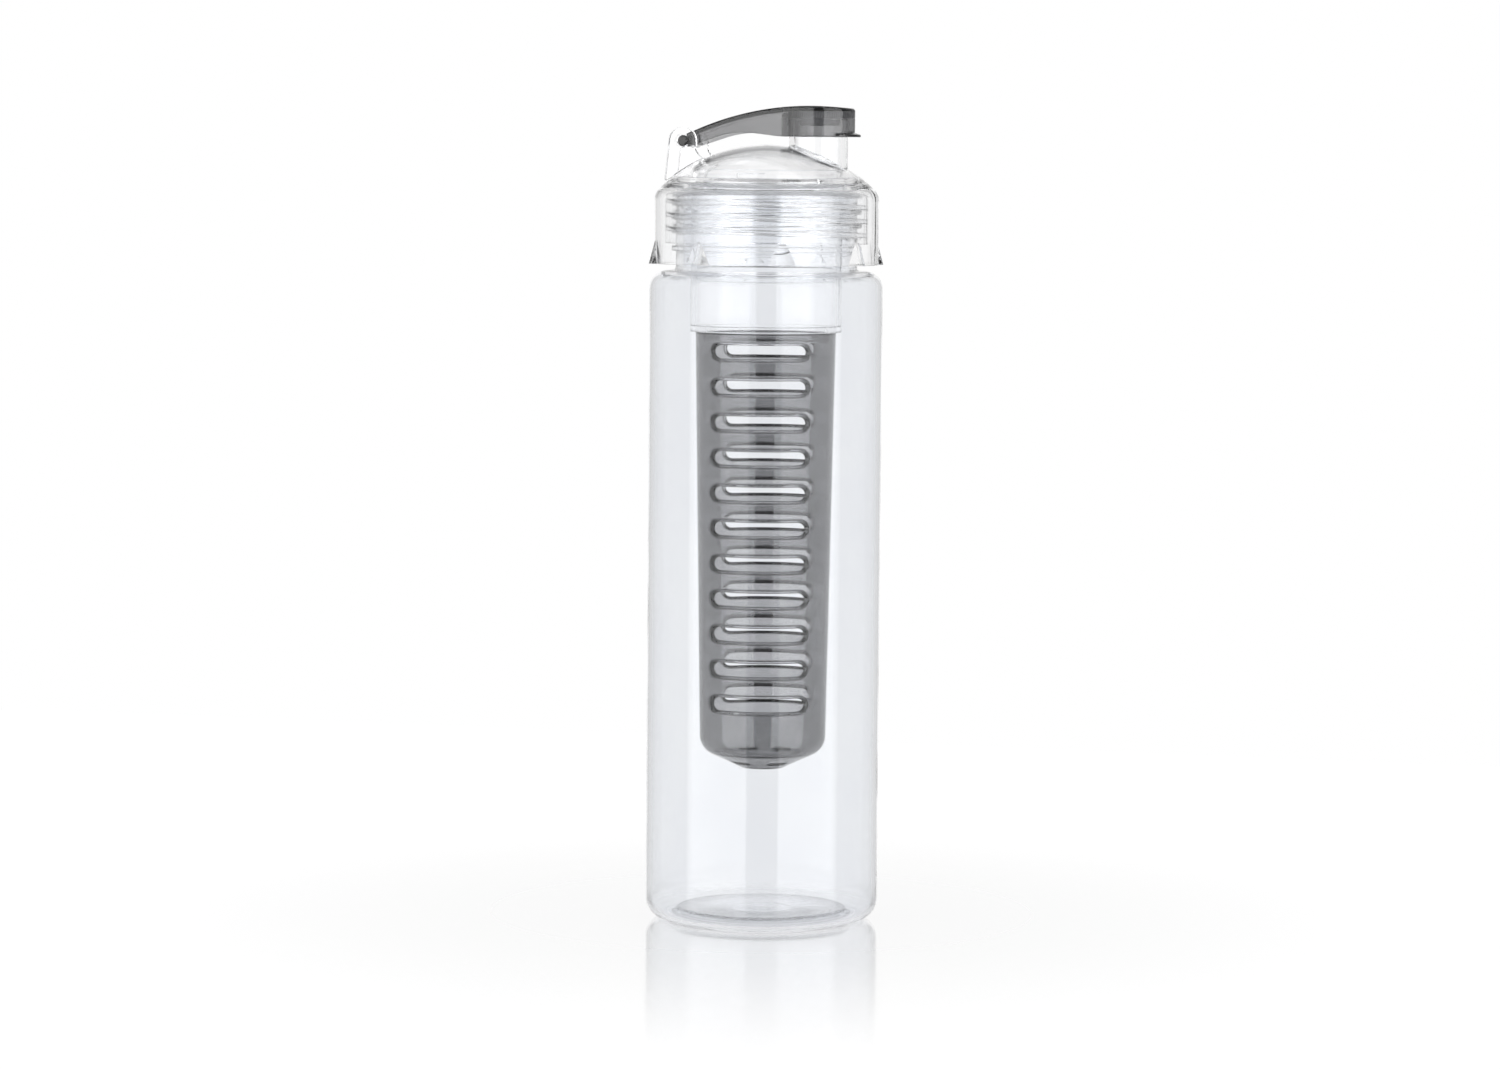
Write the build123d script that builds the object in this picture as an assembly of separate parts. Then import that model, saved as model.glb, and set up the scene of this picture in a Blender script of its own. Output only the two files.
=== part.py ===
from build123d import *
import os
from math import acos, atan2, cos, hypot, pi, radians, sin, sqrt, tan

# Fruit infuser water bottle, in millimetres. +Z is up, the origin is the centre of
# the foot, the spout is towards +X and the lid's hinge towards -X. A clear bottle
# takes a clear screw cap with a spout and two hinge ears. A smoke grey flip lid
# closes the spout. A clear collar locks into the cap and carries the slotted basket.

# Bottle body
body_diameter = 72.0
body_wall = 1.4
straight_wall_height = 195.7
heel_radius = 6.2
foot_ring_width = 2.8
push_up_height = 1.8
push_up_slope_width = 1.6
push_up_edge_radius = 0.8
shoulder_radius = 5.4
shoulder_width = 8.0
neck_wall = 2.0
neck_height = 23.5
neck_root_radius = 0.9
neck_throat_radius = 2.2
bead_reach = 1.3
bead_chamfer = 0.4
bead_height = 1.6
bead_rise = 5.9

# Fits between the pieces
seal_gap = 0.3
twist_gap = 0.3
running_clearance = 0.05
thread_space = 1.8
collar_space = 2.6
flange_clearance = 0.5
cut_overrun = 5.0

# Neck gasket
gasket_height = 1.9
gasket_overhang = 1.4
gasket_chamfer = 0.4

# Screw cap
skirt_wall = 1.7
skirt_space = 1.6
skirt_lift = 1.9
sleeve_wall = 1.5
sleeve_clearance = 0.8
web_thickness = 1.4
dome_clearance = 0.25
dome_wall = 1.8
dome_shoulder_radius = 4.5
lug_count = 8
lug_height = 7.1
lug_reach = 1.9
lug_root_radius = 5.0

# Spout on the cap
spout_inset = 18.4
spout_diameter = 18.1
spout_wall = 1.75
spout_rise = 7.8
spout_lip_radius = 0.5

# Hinge ears on the cap, and the lid's trunnions that turn in them
pivot_inset = 9.6
pivot_rise = 1.0
ear_radius = 4.2
ear_thickness = 2.4
ear_gap = 12.0
ear_foot_spread = 1.3
ear_flare_reach = 3.4
trunnion_diameter = 3.4
trunnion_recess = 1.0
trunnion_chamfer = 0.3
countersink_width = 0.65
countersink_depth = 0.9

# Flip lid
lid_wall = 1.5
lid_roof = 1.6
cup_clearance = 0.7
cup_overlap = 5.4
lid_crown_back = 0.3
lid_edge_radius = 0.9
arch_rise = 1.75
arch_bend_share = 0.455
knuckle_clearance = 0.3
knuckle_back = 1.8
knuckle_reach = 1.85
straight_arm_length = 6.5
arm_waist_radius = 6.0
thumb_lip_reach = 1.8
thumb_lip_height = 1.7
thumb_lip_tip = 0.7
thumb_lip_angle = 96.0

# Spout seal in the lid
seal_thickness = 2.1
seal_plug_clearance = 0.6
seal_plug_depth = 2.0
seal_plug_chamfer = 0.6

# Infuser collar
collar_wall = 1.8
collar_length = 48.9
collar_top_rise = 2.7
flange_thickness = 1.8
twist_lug_count = 3
twist_lug_reach = 1.5
twist_lug_height = 1.3
twist_lug_angle = 20.0
twist_notch_angle = 24.0
twist_notch_turn = 60.0
twist_lug_first_angle = 33.0
spigot_length = 2.9
spigot_wall = 1.4
spigot_clearance = 0.3

# Infuser basket
basket_step = 1.7
basket_taper = 2.1
basket_wall = 1.5
basket_length = 135.3
basket_floor_height = 12.9
basket_corner_radius = 6.1
basket_foot_diameter = 13.4
basket_cone_angle = 25.0
basket_turn = 8.5
slot_rows = 11
slot_height = 5.0
slot_side_margin = 6.8
first_slot_drop = 5.7
last_slot_rise = 8.2
drain_count = 6
drain_length = 6.4
drain_width = 2.4
drain_place_share = 1 / 3

# Levels worked out from the sizes above, from the foot upwards
shoulder_top = straight_wall_height + shoulder_radius
neck_top = shoulder_top + neck_height
bead_bottom = shoulder_top + bead_rise
gasket_bottom = neck_top + seal_gap
gasket_top = gasket_bottom + gasket_height
web_bottom = gasket_top + seal_gap
web_top = web_bottom + web_thickness
skirt_bottom = shoulder_top + skirt_lift
sleeve_bottom = bead_bottom + bead_height + sleeve_clearance
collar_top = web_top + collar_top_rise
collar_bottom = collar_top - collar_length
flange_top = web_bottom - twist_gap
flange_bottom = flange_top - flange_thickness
basket_top = collar_bottom - running_clearance
basket_bottom = basket_top - basket_length

# Radii and widths, worked out from the bottle's wall inwards and outwards
body_radius = body_diameter / 2
neck_radius = body_radius - shoulder_width
neck_bore_radius = neck_radius - neck_wall
sleeve_bore_radius = neck_radius + thread_space
sleeve_radius = sleeve_bore_radius + sleeve_wall
skirt_bore_radius = sleeve_radius + skirt_space
cap_radius = skirt_bore_radius + skirt_wall
spout_offset = cap_radius - spout_inset
spout_radius = spout_diameter / 2
spout_bore_radius = spout_radius - spout_wall
cup_bore_radius = spout_radius + cup_clearance
cup_radius = cup_bore_radius + lid_wall
pivot_offset = cap_radius - pivot_inset
ear_outer_width = ear_gap + 2 * ear_thickness
knuckle_width = ear_gap - 2 * knuckle_clearance
trunnion_radius = trunnion_diameter / 2
collar_radius = neck_bore_radius - collar_space
collar_bore_radius = collar_radius - collar_wall
web_bore_radius = collar_radius + twist_gap
flange_radius = neck_bore_radius - flange_clearance
twist_lug_radius = collar_radius + twist_lug_reach
basket_top_radius = collar_radius - basket_step
basket_bottom_radius = basket_top_radius - basket_taper
basket_foot_radius = basket_foot_diameter / 2
basket_taper_length = basket_length - basket_floor_height
basket_mouth_radius = basket_top_radius - basket_wall
spigot_radius = basket_mouth_radius - spigot_clearance

# The dome just clears the collar's top corner and meets the web over the gasket's edge
gasket_radius = neck_radius + gasket_overhang
dome_point = collar_top + dome_clearance
dome_span = gasket_radius**2 - collar_radius**2
dome_centre = (dome_point + web_bottom) / 2 - dome_span / 2 / (dome_point - web_bottom)
dome_bore_radius = hypot(gasket_radius, web_bottom - dome_centre)
dome_radius = dome_bore_radius + dome_wall
dome_top = dome_centre + dome_radius

# Levels above the dome, and the crown that runs from the cup down to the hinge
spout_top = dome_top + spout_rise
pivot_height = dome_top + pivot_rise
lid_rim = spout_top - cup_overlap
seal_bottom = spout_top + seal_gap
cup_roof = seal_bottom + seal_thickness
lid_top = cup_roof + lid_roof
lid_crown_x = spout_offset - lid_crown_back
lid_crown_drop = lid_top - pivot_height - knuckle_reach
lid_crown_radius = ((lid_crown_x + pivot_offset) ** 2 + lid_crown_drop**2) / (2 * lid_crown_drop)


def spun(outline):
    """Turn a closed outline, given as (radius, height) edges, round the Z axis."""
    return revolve(Plane.XZ * make_face(outline), Axis.Z)


def ring(outer_radius, inner_radius, bottom, top):
    """A plain round ring between two levels."""
    height = top - bottom
    blank = Cylinder(outer_radius, height) - Cylinder(inner_radius, height)
    return Pos(0, 0, bottom + height / 2) * blank


def disc(radius, bottom, top):
    """A plain round disc between two levels."""
    height = top - bottom
    return Pos(0, 0, bottom + height / 2) * Cylinder(radius, height)


def sector(outer_radius, inner_radius, bottom, top, angle):
    """Part of a ring, centred on the X axis."""
    half = radians(angle / 2)
    wedge_reach = outer_radius * 2
    wedge = Polyline(
        (0, 0),
        (wedge_reach * cos(half), -wedge_reach * sin(half)),
        (wedge_reach * cos(half), wedge_reach * sin(half)),
        (0, 0),
    )
    slab = Pos(0, 0, bottom) * extrude(make_face(wedge), top - bottom)
    return ring(outer_radius, inner_radius, bottom, top) & slab


def base_corners(wall):
    """Corners of the pushed-up base, moved up into the bottle by a wall."""
    foot_inner = body_radius - heel_radius - foot_ring_width
    slope_turn = atan2(push_up_height, push_up_slope_width)
    corner_shift = wall * tan(slope_turn / 2)
    return [
        (0, push_up_height + wall),
        (foot_inner - push_up_slope_width + corner_shift, push_up_height + wall),
        (foot_inner + corner_shift, wall),
    ]


def body_outside():
    """The bottle's outer form: pushed-up base, heel, straight wall, shoulder, neck."""
    path = FilletPolyline(
        *base_corners(0),
        (body_radius, 0),
        (body_radius, shoulder_top),
        (neck_radius, shoulder_top),
        (neck_radius, neck_top),
        radius=[
            push_up_edge_radius,
            push_up_edge_radius,
            heel_radius,
            shoulder_radius,
            neck_root_radius,
        ],
    )
    closing = Polyline((neck_radius, neck_top), (0, neck_top), (0, push_up_height))
    return spun(path.edges() + closing.edges())


def body_inside():
    """The space in the bottle, a wall inside its form, which runs on past the mouth."""
    inner_radius = body_radius - body_wall
    ceiling = shoulder_top - body_wall
    mouth = neck_top + cut_overrun
    base = base_corners(body_wall)
    path = FilletPolyline(
        base[-1],
        (inner_radius, body_wall),
        (inner_radius, ceiling),
        (neck_bore_radius, ceiling),
        (neck_bore_radius, mouth),
        radius=[heel_radius - body_wall, shoulder_radius - body_wall, neck_throat_radius],
    )
    closing = Polyline((neck_bore_radius, mouth), (0, mouth), *base)
    return spun(path.edges() + closing.edges())


def make_bottle_body():
    """Clear bottle: blown wall, pushed-up base, and a neck with a support bead."""
    bead = ring(neck_radius + bead_reach, neck_radius - neck_wall / 2, bead_bottom, bead_bottom + bead_height)
    rim_edges = bead.edges().filter_by(GeomType.CIRCLE).group_by(SortBy.RADIUS)[-1]
    bead = chamfer(rim_edges, bead_chamfer)
    return body_outside() + bead - body_inside()


def make_neck_gasket():
    """Silicone ring between the bottle's rim and the cap."""
    gasket = ring(gasket_radius, neck_bore_radius, gasket_bottom, gasket_top)
    outer_edges = gasket.edges().filter_by(GeomType.CIRCLE).group_by(SortBy.RADIUS)[-1]
    return chamfer(outer_edges, gasket_chamfer)


def domed_can(radius, sphere_radius, edge_radius, bottom):
    """A can whose flat top is a shallow dome, with a rounded corner between them."""
    corner_level = dome_centre + sqrt(sphere_radius**2 - radius**2)
    half_radius = radius / 2
    half_level = dome_centre + sqrt(sphere_radius**2 - half_radius**2)
    top = dome_centre + sphere_radius
    walls = Polyline((0, top), (0, bottom), (radius, bottom), (radius, corner_level))
    dome = ThreePointArc((radius, corner_level), (half_radius, half_level), (0, top))
    outline = make_face(walls.edges() + [dome])
    corner = outline.vertices().group_by(Axis.X)[-1].sort_by(Axis.Y)[-1]
    return revolve(Plane.XZ * fillet(corner, edge_radius), Axis.Z)


def grip_lug():
    """One grip lug: a leaning half cone that dies into the skirt at its top."""
    axis_radius = cap_radius + lug_reach - lug_root_radius
    cone = Cone(lug_root_radius, cap_radius - axis_radius, lug_height)
    return Pos(axis_radius, 0, skirt_bottom + lug_height / 2) * cone


def ear_outline():
    """Side outline of an ear: a round head on the pivot over a foot that flares."""
    back = -pivot_offset - ear_radius
    front = -pivot_offset + ear_radius
    foot = dome_centre + sqrt((dome_radius - dome_wall / 2) ** 2 - back**2)
    inner_foot_x = front + ear_flare_reach
    inner_foot = dome_centre + sqrt((dome_radius - dome_wall / 2) ** 2 - inner_foot_x**2)
    flare_start = pivot_height - ear_radius / 2
    head_top = (-pivot_offset, pivot_height + ear_radius)
    head = ThreePointArc((front, pivot_height), head_top, (back, pivot_height))
    back_edge = Line((back, pivot_height), (back - ear_foot_spread, foot))
    sole = Line((back - ear_foot_spread, foot), (inner_foot_x, inner_foot))
    flare = TangentArc((front, flare_start), (inner_foot_x, inner_foot), tangent=(0, -1))
    front_edge = Line((front, flare_start), (front, pivot_height))
    return make_face([head, back_edge, sole, flare, front_edge])


def make_ears():
    """The pair of hinge ears, which stand on the dome on either side of the lid's arm."""
    near_ear = Pos(0, -ear_gap / 2, 0) * extrude(Plane.XZ * ear_outline(), ear_thickness)
    near_ear -= Pos(0, 0, dome_centre) * Sphere(dome_bore_radius)
    return near_ear + mirror(near_ear, Plane.XZ)


def trunnion_holes():
    """The bore through both ears, countersunk on the outer faces."""
    bore = Cylinder(trunnion_radius + running_clearance, ear_outer_width + cut_overrun)
    sink = Cone(trunnion_radius + countersink_width, trunnion_radius, countersink_depth)
    sink_place = (ear_outer_width - countersink_depth) / 2
    holes = bore + Pos(0, 0, -sink_place) * sink
    holes += Pos(0, 0, sink_place) * Rot(180, 0, 0) * sink
    return Pos(-pivot_offset, 0, pivot_height) * Rot(90, 0, 0) * holes


def make_screw_cap():
    """Clear cap: lugged skirt, inner sleeve, locking web, dome, spout and ears."""
    outside = domed_can(cap_radius, dome_radius, dome_shoulder_radius, skirt_bottom)
    inner_corner = dome_shoulder_radius - skirt_wall
    inside = domed_can(
        skirt_bore_radius, dome_bore_radius, inner_corner, skirt_bottom - cut_overrun
    )
    hollow = outside - inside

    sleeve = ring(sleeve_radius, sleeve_bore_radius, sleeve_bottom, dome_top) & outside
    web = ring(sleeve_radius - sleeve_wall / 2, web_bore_radius, web_bottom, web_top) & outside
    notch = sector(
        twist_lug_radius + twist_gap,
        web_bore_radius - twist_gap,
        web_bottom - cut_overrun,
        web_top + cut_overrun,
        twist_notch_angle,
    )
    for index in range(twist_lug_count):
        turn = twist_lug_first_angle + twist_notch_turn + index * 360 / twist_lug_count
        web -= Rot(0, 0, turn) * notch

    lug = grip_lug()
    half_step = 180 / lug_count
    lug_limit = disc(cap_radius - skirt_wall / 2, skirt_bottom - cut_overrun, dome_top)
    spout = disc(spout_radius, web_top, spout_top)
    spout = Pos(spout_offset, 0, 0) * fillet(spout.edges().sort_by(Axis.Z)[-1], spout_lip_radius)
    inner_ball = Pos(0, 0, dome_centre) * Sphere(dome_bore_radius)

    cap = hollow + sleeve + web + (spout - inner_ball) + make_ears()
    for index in range(lug_count):
        turn = half_step + index * 360 / lug_count
        cap += Rot(0, 0, turn) * lug - lug_limit
    spout_bore = disc(spout_bore_radius, web_top + web_thickness, spout_top + cut_overrun)
    return cap - Pos(spout_offset, 0, 0) * spout_bore - trunnion_holes()


def lid_plan(inset):
    """Plan of the lid, a round cup and an arm that narrows to the knuckle."""
    half_width = knuckle_width / 2 - inset
    radius = cup_radius - inset
    arm_end = -pivot_offset - knuckle_back + inset
    arm_turn = arm_end + straight_arm_length
    reach = spout_offset - arm_turn
    side_angle = pi - atan2(half_width, reach) - acos(radius / hypot(reach, half_width))
    side_x = spout_offset + radius * cos(side_angle)
    side_y = radius * sin(side_angle)
    sides = Polyline(
        (side_x, side_y),
        (arm_turn, half_width),
        (arm_end, half_width),
        (arm_end, -half_width),
        (arm_turn, -half_width),
        (side_x, -side_y),
    )
    front = ThreePointArc((side_x, -side_y), (spout_offset + radius, 0), (side_x, side_y))
    return make_face(sides.edges() + [front])


def lid_side(drop):
    """Side outline of the lid: a crowned top over an arched underside."""
    far_end = spout_offset + cup_radius + cut_overrun
    near_end = -pivot_offset - 2 * knuckle_back
    crown_z = lid_top - drop
    crown_centre = crown_z - lid_crown_radius

    def crown_at(x):
        return crown_centre + sqrt(lid_crown_radius**2 - (x - lid_crown_x) ** 2)

    knuckle_bottom = pivot_height - knuckle_reach
    arch_start = -pivot_offset + knuckle_back
    arch_end = spout_offset - cup_radius + lid_wall
    half_span = (arch_end - arch_start) / 2
    arch_top = lid_rim + arch_rise
    arch_turn = atan2(arch_top - knuckle_bottom, half_span) + atan2(arch_rise, half_span)
    arch_radius = half_span * arch_bend_share / tan(arch_turn / 2)
    underside = FilletPolyline(
        (near_end, knuckle_bottom),
        (arch_start, knuckle_bottom),
        (arch_start + half_span, arch_top),
        (arch_end, lid_rim),
        (far_end, lid_rim),
        radius=[lid_wall, arch_radius, arch_radius],
    )
    far_edge = Line((far_end, lid_rim), (far_end, crown_at(far_end)))
    crown = ThreePointArc(
        (far_end, crown_at(far_end)), (lid_crown_x, crown_z), (near_end, crown_at(near_end))
    )
    near_edge = Line((near_end, crown_at(near_end)), (near_end, knuckle_bottom))
    return make_face(underside.edges() + [far_edge, crown, near_edge])


def lid_form(inset, drop):
    """Solid that the plan and the side outline have in common."""
    plan_bottom = pivot_height - cut_overrun
    plan = extrude(Pos(0, 0, plan_bottom) * lid_plan(inset), lid_top + cut_overrun - plan_bottom)
    side = extrude(Plane.XZ * lid_side(drop), cup_radius + cut_overrun, both=True)
    return plan & side


def thumb_lip():
    """Lip under the front of the cup that a thumb lifts."""
    root = cup_radius - lid_wall / 2
    tip = cup_radius + thumb_lip_reach
    section = Polyline(
        (root, lid_rim),
        (tip, lid_rim),
        (tip, lid_rim + thumb_lip_tip),
        (root, lid_rim + thumb_lip_height),
        (root, lid_rim),
    )
    lip = revolve(Plane.XZ * make_face(section), Axis.Z, thumb_lip_angle)
    return Pos(spout_offset, 0, 0) * Rot(0, 0, -thumb_lip_angle / 2) * lip


def make_flip_lid():
    """Smoke grey lid: an inverted channel arm, a cup over the spout and a thumb lip."""
    form = lid_form(0, 0)
    waist_x = -pivot_offset - knuckle_back + straight_arm_length
    waist_edges = form.edges().filter_by(lambda edge: abs(edge.center().X - waist_x) < lid_wall / 2)
    form = fillet(waist_edges.filter_by(Axis.Z), arm_waist_radius)
    form = fillet(form.faces().sort_by(Axis.Z)[-1].edges(), lid_edge_radius)
    hollow = lid_form(lid_wall, lid_roof)
    hollow += Pos(0, 0, -lid_roof) * hollow
    knuckle_front = -pivot_offset + knuckle_back + lid_wall
    knuckle_block = Pos(knuckle_front - cup_radius, 0, pivot_height) * Box(
        2 * cup_radius, 2 * cup_radius, 2 * cup_radius
    )
    cup_column = Pos(spout_offset, 0, 0) * disc(cup_radius, pivot_height - cut_overrun, lid_top)
    lid = form - (hollow - knuckle_block - cup_column)
    lid -= Pos(spout_offset, 0, 0) * disc(cup_bore_radius, lid_rim - cut_overrun, cup_roof)
    lid += thumb_lip() - Pos(spout_offset, 0, 0) * disc(cup_bore_radius, lid_rim - cut_overrun, cup_roof)
    trunnions = Cylinder(trunnion_radius, ear_outer_width - 2 * trunnion_recess)
    trunnions = chamfer(trunnions.edges().filter_by(GeomType.CIRCLE), trunnion_chamfer)
    return lid + Pos(-pivot_offset, 0, pivot_height) * Rot(90, 0, 0) * trunnions


def make_spout_seal():
    """Silicone seal in the lid's cup, with a plug that enters the spout's bore."""
    seal = disc(cup_bore_radius, seal_bottom, cup_roof)
    plug = disc(spout_bore_radius - seal_plug_clearance, spout_top - seal_plug_depth, cup_roof)
    plug = chamfer(plug.edges().sort_by(Axis.Z)[0], seal_plug_chamfer)
    return Pos(spout_offset, 0, 0) * (seal + plug)


def make_infuser_collar():
    """Clear tube with a flange and locking lugs at the cap and a spigot at the basket."""
    collar = ring(collar_radius, collar_bore_radius, collar_bottom, collar_top)
    collar += ring(flange_radius, collar_radius - collar_wall / 2, flange_bottom, flange_top)
    lug_bottom = web_top + twist_gap
    lug = sector(
        twist_lug_radius,
        collar_radius - collar_wall / 2,
        lug_bottom,
        lug_bottom + twist_lug_height,
        twist_lug_angle,
    )
    for index in range(twist_lug_count):
        collar += Rot(0, 0, twist_lug_first_angle + index * 360 / twist_lug_count) * lug
    spigot_bore = spigot_radius - spigot_wall
    spigot = ring(spigot_radius, spigot_bore, collar_bottom - spigot_length, collar_bottom)
    step = ring(collar_radius, spigot_bore, collar_bottom, collar_bottom + collar_wall)
    return collar + spigot + step


def basket_outline(inset):
    """Half section of the basket, from its axis to its mouth, moved in by a wall."""
    taper_bottom = basket_top - basket_taper_length
    floor = basket_bottom + inset
    rise = (basket_bottom_radius - basket_foot_radius - inset) * tan(radians(basket_cone_angle))
    mouth = basket_top + (cut_overrun if inset else 0)
    slope = basket_taper / basket_taper_length
    mouth_radius = basket_top_radius - inset + slope * (mouth - basket_top)
    lowest_radius = basket_bottom_radius - inset - slope * (taper_bottom - floor - rise)
    path = FilletPolyline(
        (basket_foot_radius, floor),
        (lowest_radius, floor + rise),
        (mouth_radius, mouth),
        radius=basket_corner_radius - inset,
    )
    closing = Polyline((mouth_radius, mouth), (0, mouth), (0, floor), (basket_foot_radius, floor))
    return path.edges() + closing.edges()


def make_infuser_basket():
    """Smoke grey basket: a tapered cup with two ladders of slots and a drained foot."""
    basket = spun(basket_outline(0)) - spun(basket_outline(basket_wall))
    slot_length = 2 * (basket_top_radius - slot_side_margin)
    slot = extrude(Plane.XZ * SlotOverall(slot_length, slot_height), 2 * basket_top_radius, both=True)
    slot_pitch = (basket_taper_length - first_slot_drop - last_slot_rise) / (slot_rows - 1)
    for row in range(slot_rows):
        basket -= Pos(0, 0, basket_top - first_slot_drop - row * slot_pitch) * slot
    drain = extrude(SlotOverall(drain_length, drain_width), basket_corner_radius + cut_overrun)
    floor_width = basket_bottom_radius - basket_foot_radius
    drain_circle_radius = basket_foot_radius + floor_width * drain_place_share
    for index in range(drain_count):
        turn = (index + 1 / 2) * 360 / drain_count
        basket -= Rot(0, 0, turn) * Pos(0, drain_circle_radius, basket_bottom) * drain
    return Rot(0, 0, basket_turn) * basket


parts = {
    "bottle_body": make_bottle_body(),
    "neck_gasket": make_neck_gasket(),
    "screw_cap": make_screw_cap(),
    "flip_lid": make_flip_lid(),
    "spout_seal": make_spout_seal(),
    "infuser_collar": make_infuser_collar(),
    "infuser_basket": make_infuser_basket(),
}

for node, shape in parts.items():
    export_step(shape, f"parts/{node}.step")
    box = shape.bounding_box()
    print(f"{node}: {box.size.X:.1f} x {box.size.Y:.1f} x {box.size.Z:.1f} mm, top at {box.max.Z:.1f}")
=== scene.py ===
# %% [markdown]
# A fruit infuser water bottle, told as a lesson in Blender. The real object is
# moulded from clear and smoke grey plastic: a blown bottle, a screw cap with a
# spout and two hinge ears, a flip lid, a clear collar and a slotted basket.
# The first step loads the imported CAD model, which fixes every size and place.

# %% Load the frame
import bpy
import bmesh
from math import atan, atan2, cos, hypot, pi, radians, sin, tan
from mathutils import Matrix, Vector


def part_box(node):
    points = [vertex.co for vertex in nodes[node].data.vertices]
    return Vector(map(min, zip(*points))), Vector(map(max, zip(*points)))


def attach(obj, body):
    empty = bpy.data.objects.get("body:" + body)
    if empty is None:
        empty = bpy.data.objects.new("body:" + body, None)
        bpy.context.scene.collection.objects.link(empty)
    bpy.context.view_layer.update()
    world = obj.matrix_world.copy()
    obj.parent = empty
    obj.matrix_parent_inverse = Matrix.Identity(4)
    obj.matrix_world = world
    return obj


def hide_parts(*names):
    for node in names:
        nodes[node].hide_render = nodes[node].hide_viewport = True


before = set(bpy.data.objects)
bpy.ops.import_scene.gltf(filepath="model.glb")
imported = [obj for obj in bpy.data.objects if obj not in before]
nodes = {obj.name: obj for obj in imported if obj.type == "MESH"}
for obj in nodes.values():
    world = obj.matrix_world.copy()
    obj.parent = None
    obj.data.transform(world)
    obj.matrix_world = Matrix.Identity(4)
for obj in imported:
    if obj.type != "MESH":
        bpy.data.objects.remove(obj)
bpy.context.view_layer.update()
for name in sorted(nodes):
    low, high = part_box(name)
    size = (high - low) * 1000
    print(f"{name}: {size.x:.1f} x {size.y:.1f} x {size.z:.1f} mm")

# %% [markdown]
# Sizes in this lesson are written in millimetres, as on a drawing, and turned
# to metres once. A few of them are read back from the CAD boxes, so that the
# pieces made here meet the ones that come from there.

# %% Units and the levels that the pieces share
MM = 0.001
shoulder_width = 8.0
neck_wall = 2.0
neck_height = 23.5
bead_rise = 5.9
bead_height = 1.6
body_low, body_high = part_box("bottle_body")
body_radius = (body_high.x - body_low.x) / 2 / MM
neck_top = body_high.z / MM
neck_radius = body_radius - shoulder_width
neck_bore = neck_radius - neck_wall
shoulder_top = neck_top - neck_height
bead_bottom = shoulder_top + bead_rise
bead_top = bead_bottom + bead_height
print(f"body radius {body_radius:.2f}, neck top {neck_top:.2f}, shoulder top {shoulder_top:.2f} mm")

# %% [markdown]
# A photograph is taken from one place. The camera stands 1475 mm from the
# bottle's axis, 233 mm up, a little to the right of the hinge line's square
# view, and looks slightly down. It could be aimed with a Track To constraint,
# but a rotation built from three plain turns lets each one be read and set:
# heading, pitch, and the half degree of roll that the bottle's lean shows.

# %% Camera
CAMERA_AZIMUTH = radians(14.5)
CAMERA_DISTANCE = 1475 * MM
CAMERA_HEIGHT = 232.8 * MM
CAMERA_PITCH = radians(-4.4)
CAMERA_ROLL = radians(0.46)
CAMERA_YAW = radians(0.17)
CAMERA_LENS = 114.6

camera_data = bpy.data.cameras.new("photo_camera")
camera_data.sensor_width = 36
camera_data.lens = CAMERA_LENS
camera_data.clip_start = 0.05
camera = bpy.data.objects.new("photo_camera", camera_data)
bpy.context.scene.collection.objects.link(camera)
bpy.context.scene.camera = camera
place = Vector((sin(CAMERA_AZIMUTH), -cos(CAMERA_AZIMUTH), 0)) * CAMERA_DISTANCE
place.z = CAMERA_HEIGHT
turn = Matrix.Rotation(CAMERA_AZIMUTH + CAMERA_YAW, 4, "Z")
turn = turn @ Matrix.Rotation(radians(90) + CAMERA_PITCH, 4, "X")
turn = turn @ Matrix.Rotation(CAMERA_ROLL, 4, "Z")
camera.matrix_world = Matrix.Translation(place) @ turn
print(f"camera at {tuple(round(v, 3) for v in place)} m, lens {CAMERA_LENS} mm")

# %% [markdown]
# Every material and every Geometry Nodes tree below is a small network. A few
# helpers keep that readable. The first adds a node and fills its sockets with
# either plain values or links, and the others use it for one line of
# arithmetic, for a smooth step between two values, for a vector put together
# from its parts, and for an empty material.

# %% Helpers for node networks
def add_node(tree, kind, settings=None, inputs=None):
    """Add a node, set its properties, and fill its sockets with values or links."""
    node = tree.nodes.new(kind)
    for key, value in (settings or {}).items():
        setattr(node, key, value)
    for key, value in (inputs or {}).items():
        if isinstance(value, bpy.types.NodeSocket):
            tree.links.new(value, node.inputs[key])
        else:
            node.inputs[key].default_value = value
    return node


def arithmetic(tree, operation, first, second=0.0, third=0.0):
    """One Math node, as a socket."""
    node = add_node(tree, "ShaderNodeMath", {"operation": operation}, {0: first, 1: second, 2: third})
    return node.outputs[0]


def ramp_between(tree, value, start, end, low=0.0, high=1.0):
    """A smooth step from low to high while value goes from start to end."""
    node = add_node(
        tree,
        "ShaderNodeMapRange",
        {"interpolation_type": "SMOOTHSTEP"},
        {"Value": value, "From Min": start, "From Max": end, "To Min": low, "To Max": high},
    )
    return node.outputs[0]


def vector_of(tree, **parts):
    """A vector put together from its X, Y and Z, as a socket."""
    return add_node(tree, "ShaderNodeCombineXYZ", None, parts).outputs[0]


def new_material(name):
    """An empty node material, returned with its tree and its output node."""
    material = bpy.data.materials.new(name)
    material.use_nodes = True
    material.node_tree.nodes.clear()
    output = add_node(material.node_tree, "ShaderNodeOutputMaterial")
    return material, material.node_tree, output


# %% [markdown]
# No moulded finish is even. Its tint drifts a little, and its relief is made
# of several layers, a slow one under finer ones. Both need only noise. It is
# read on Object coordinates, which are metres here, so a scale of 60 gives
# waves about 17 mm long, and it stays in place when a piece moves.

# %% Helpers for uneven finishes
def noise(tree, place, scale, detail):
    """Noise on a place, as a socket."""
    node = add_node(tree, "ShaderNodeTexNoise", None, {"Vector": place, "Scale": scale, "Detail": detail})
    return node.outputs[0]


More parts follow.
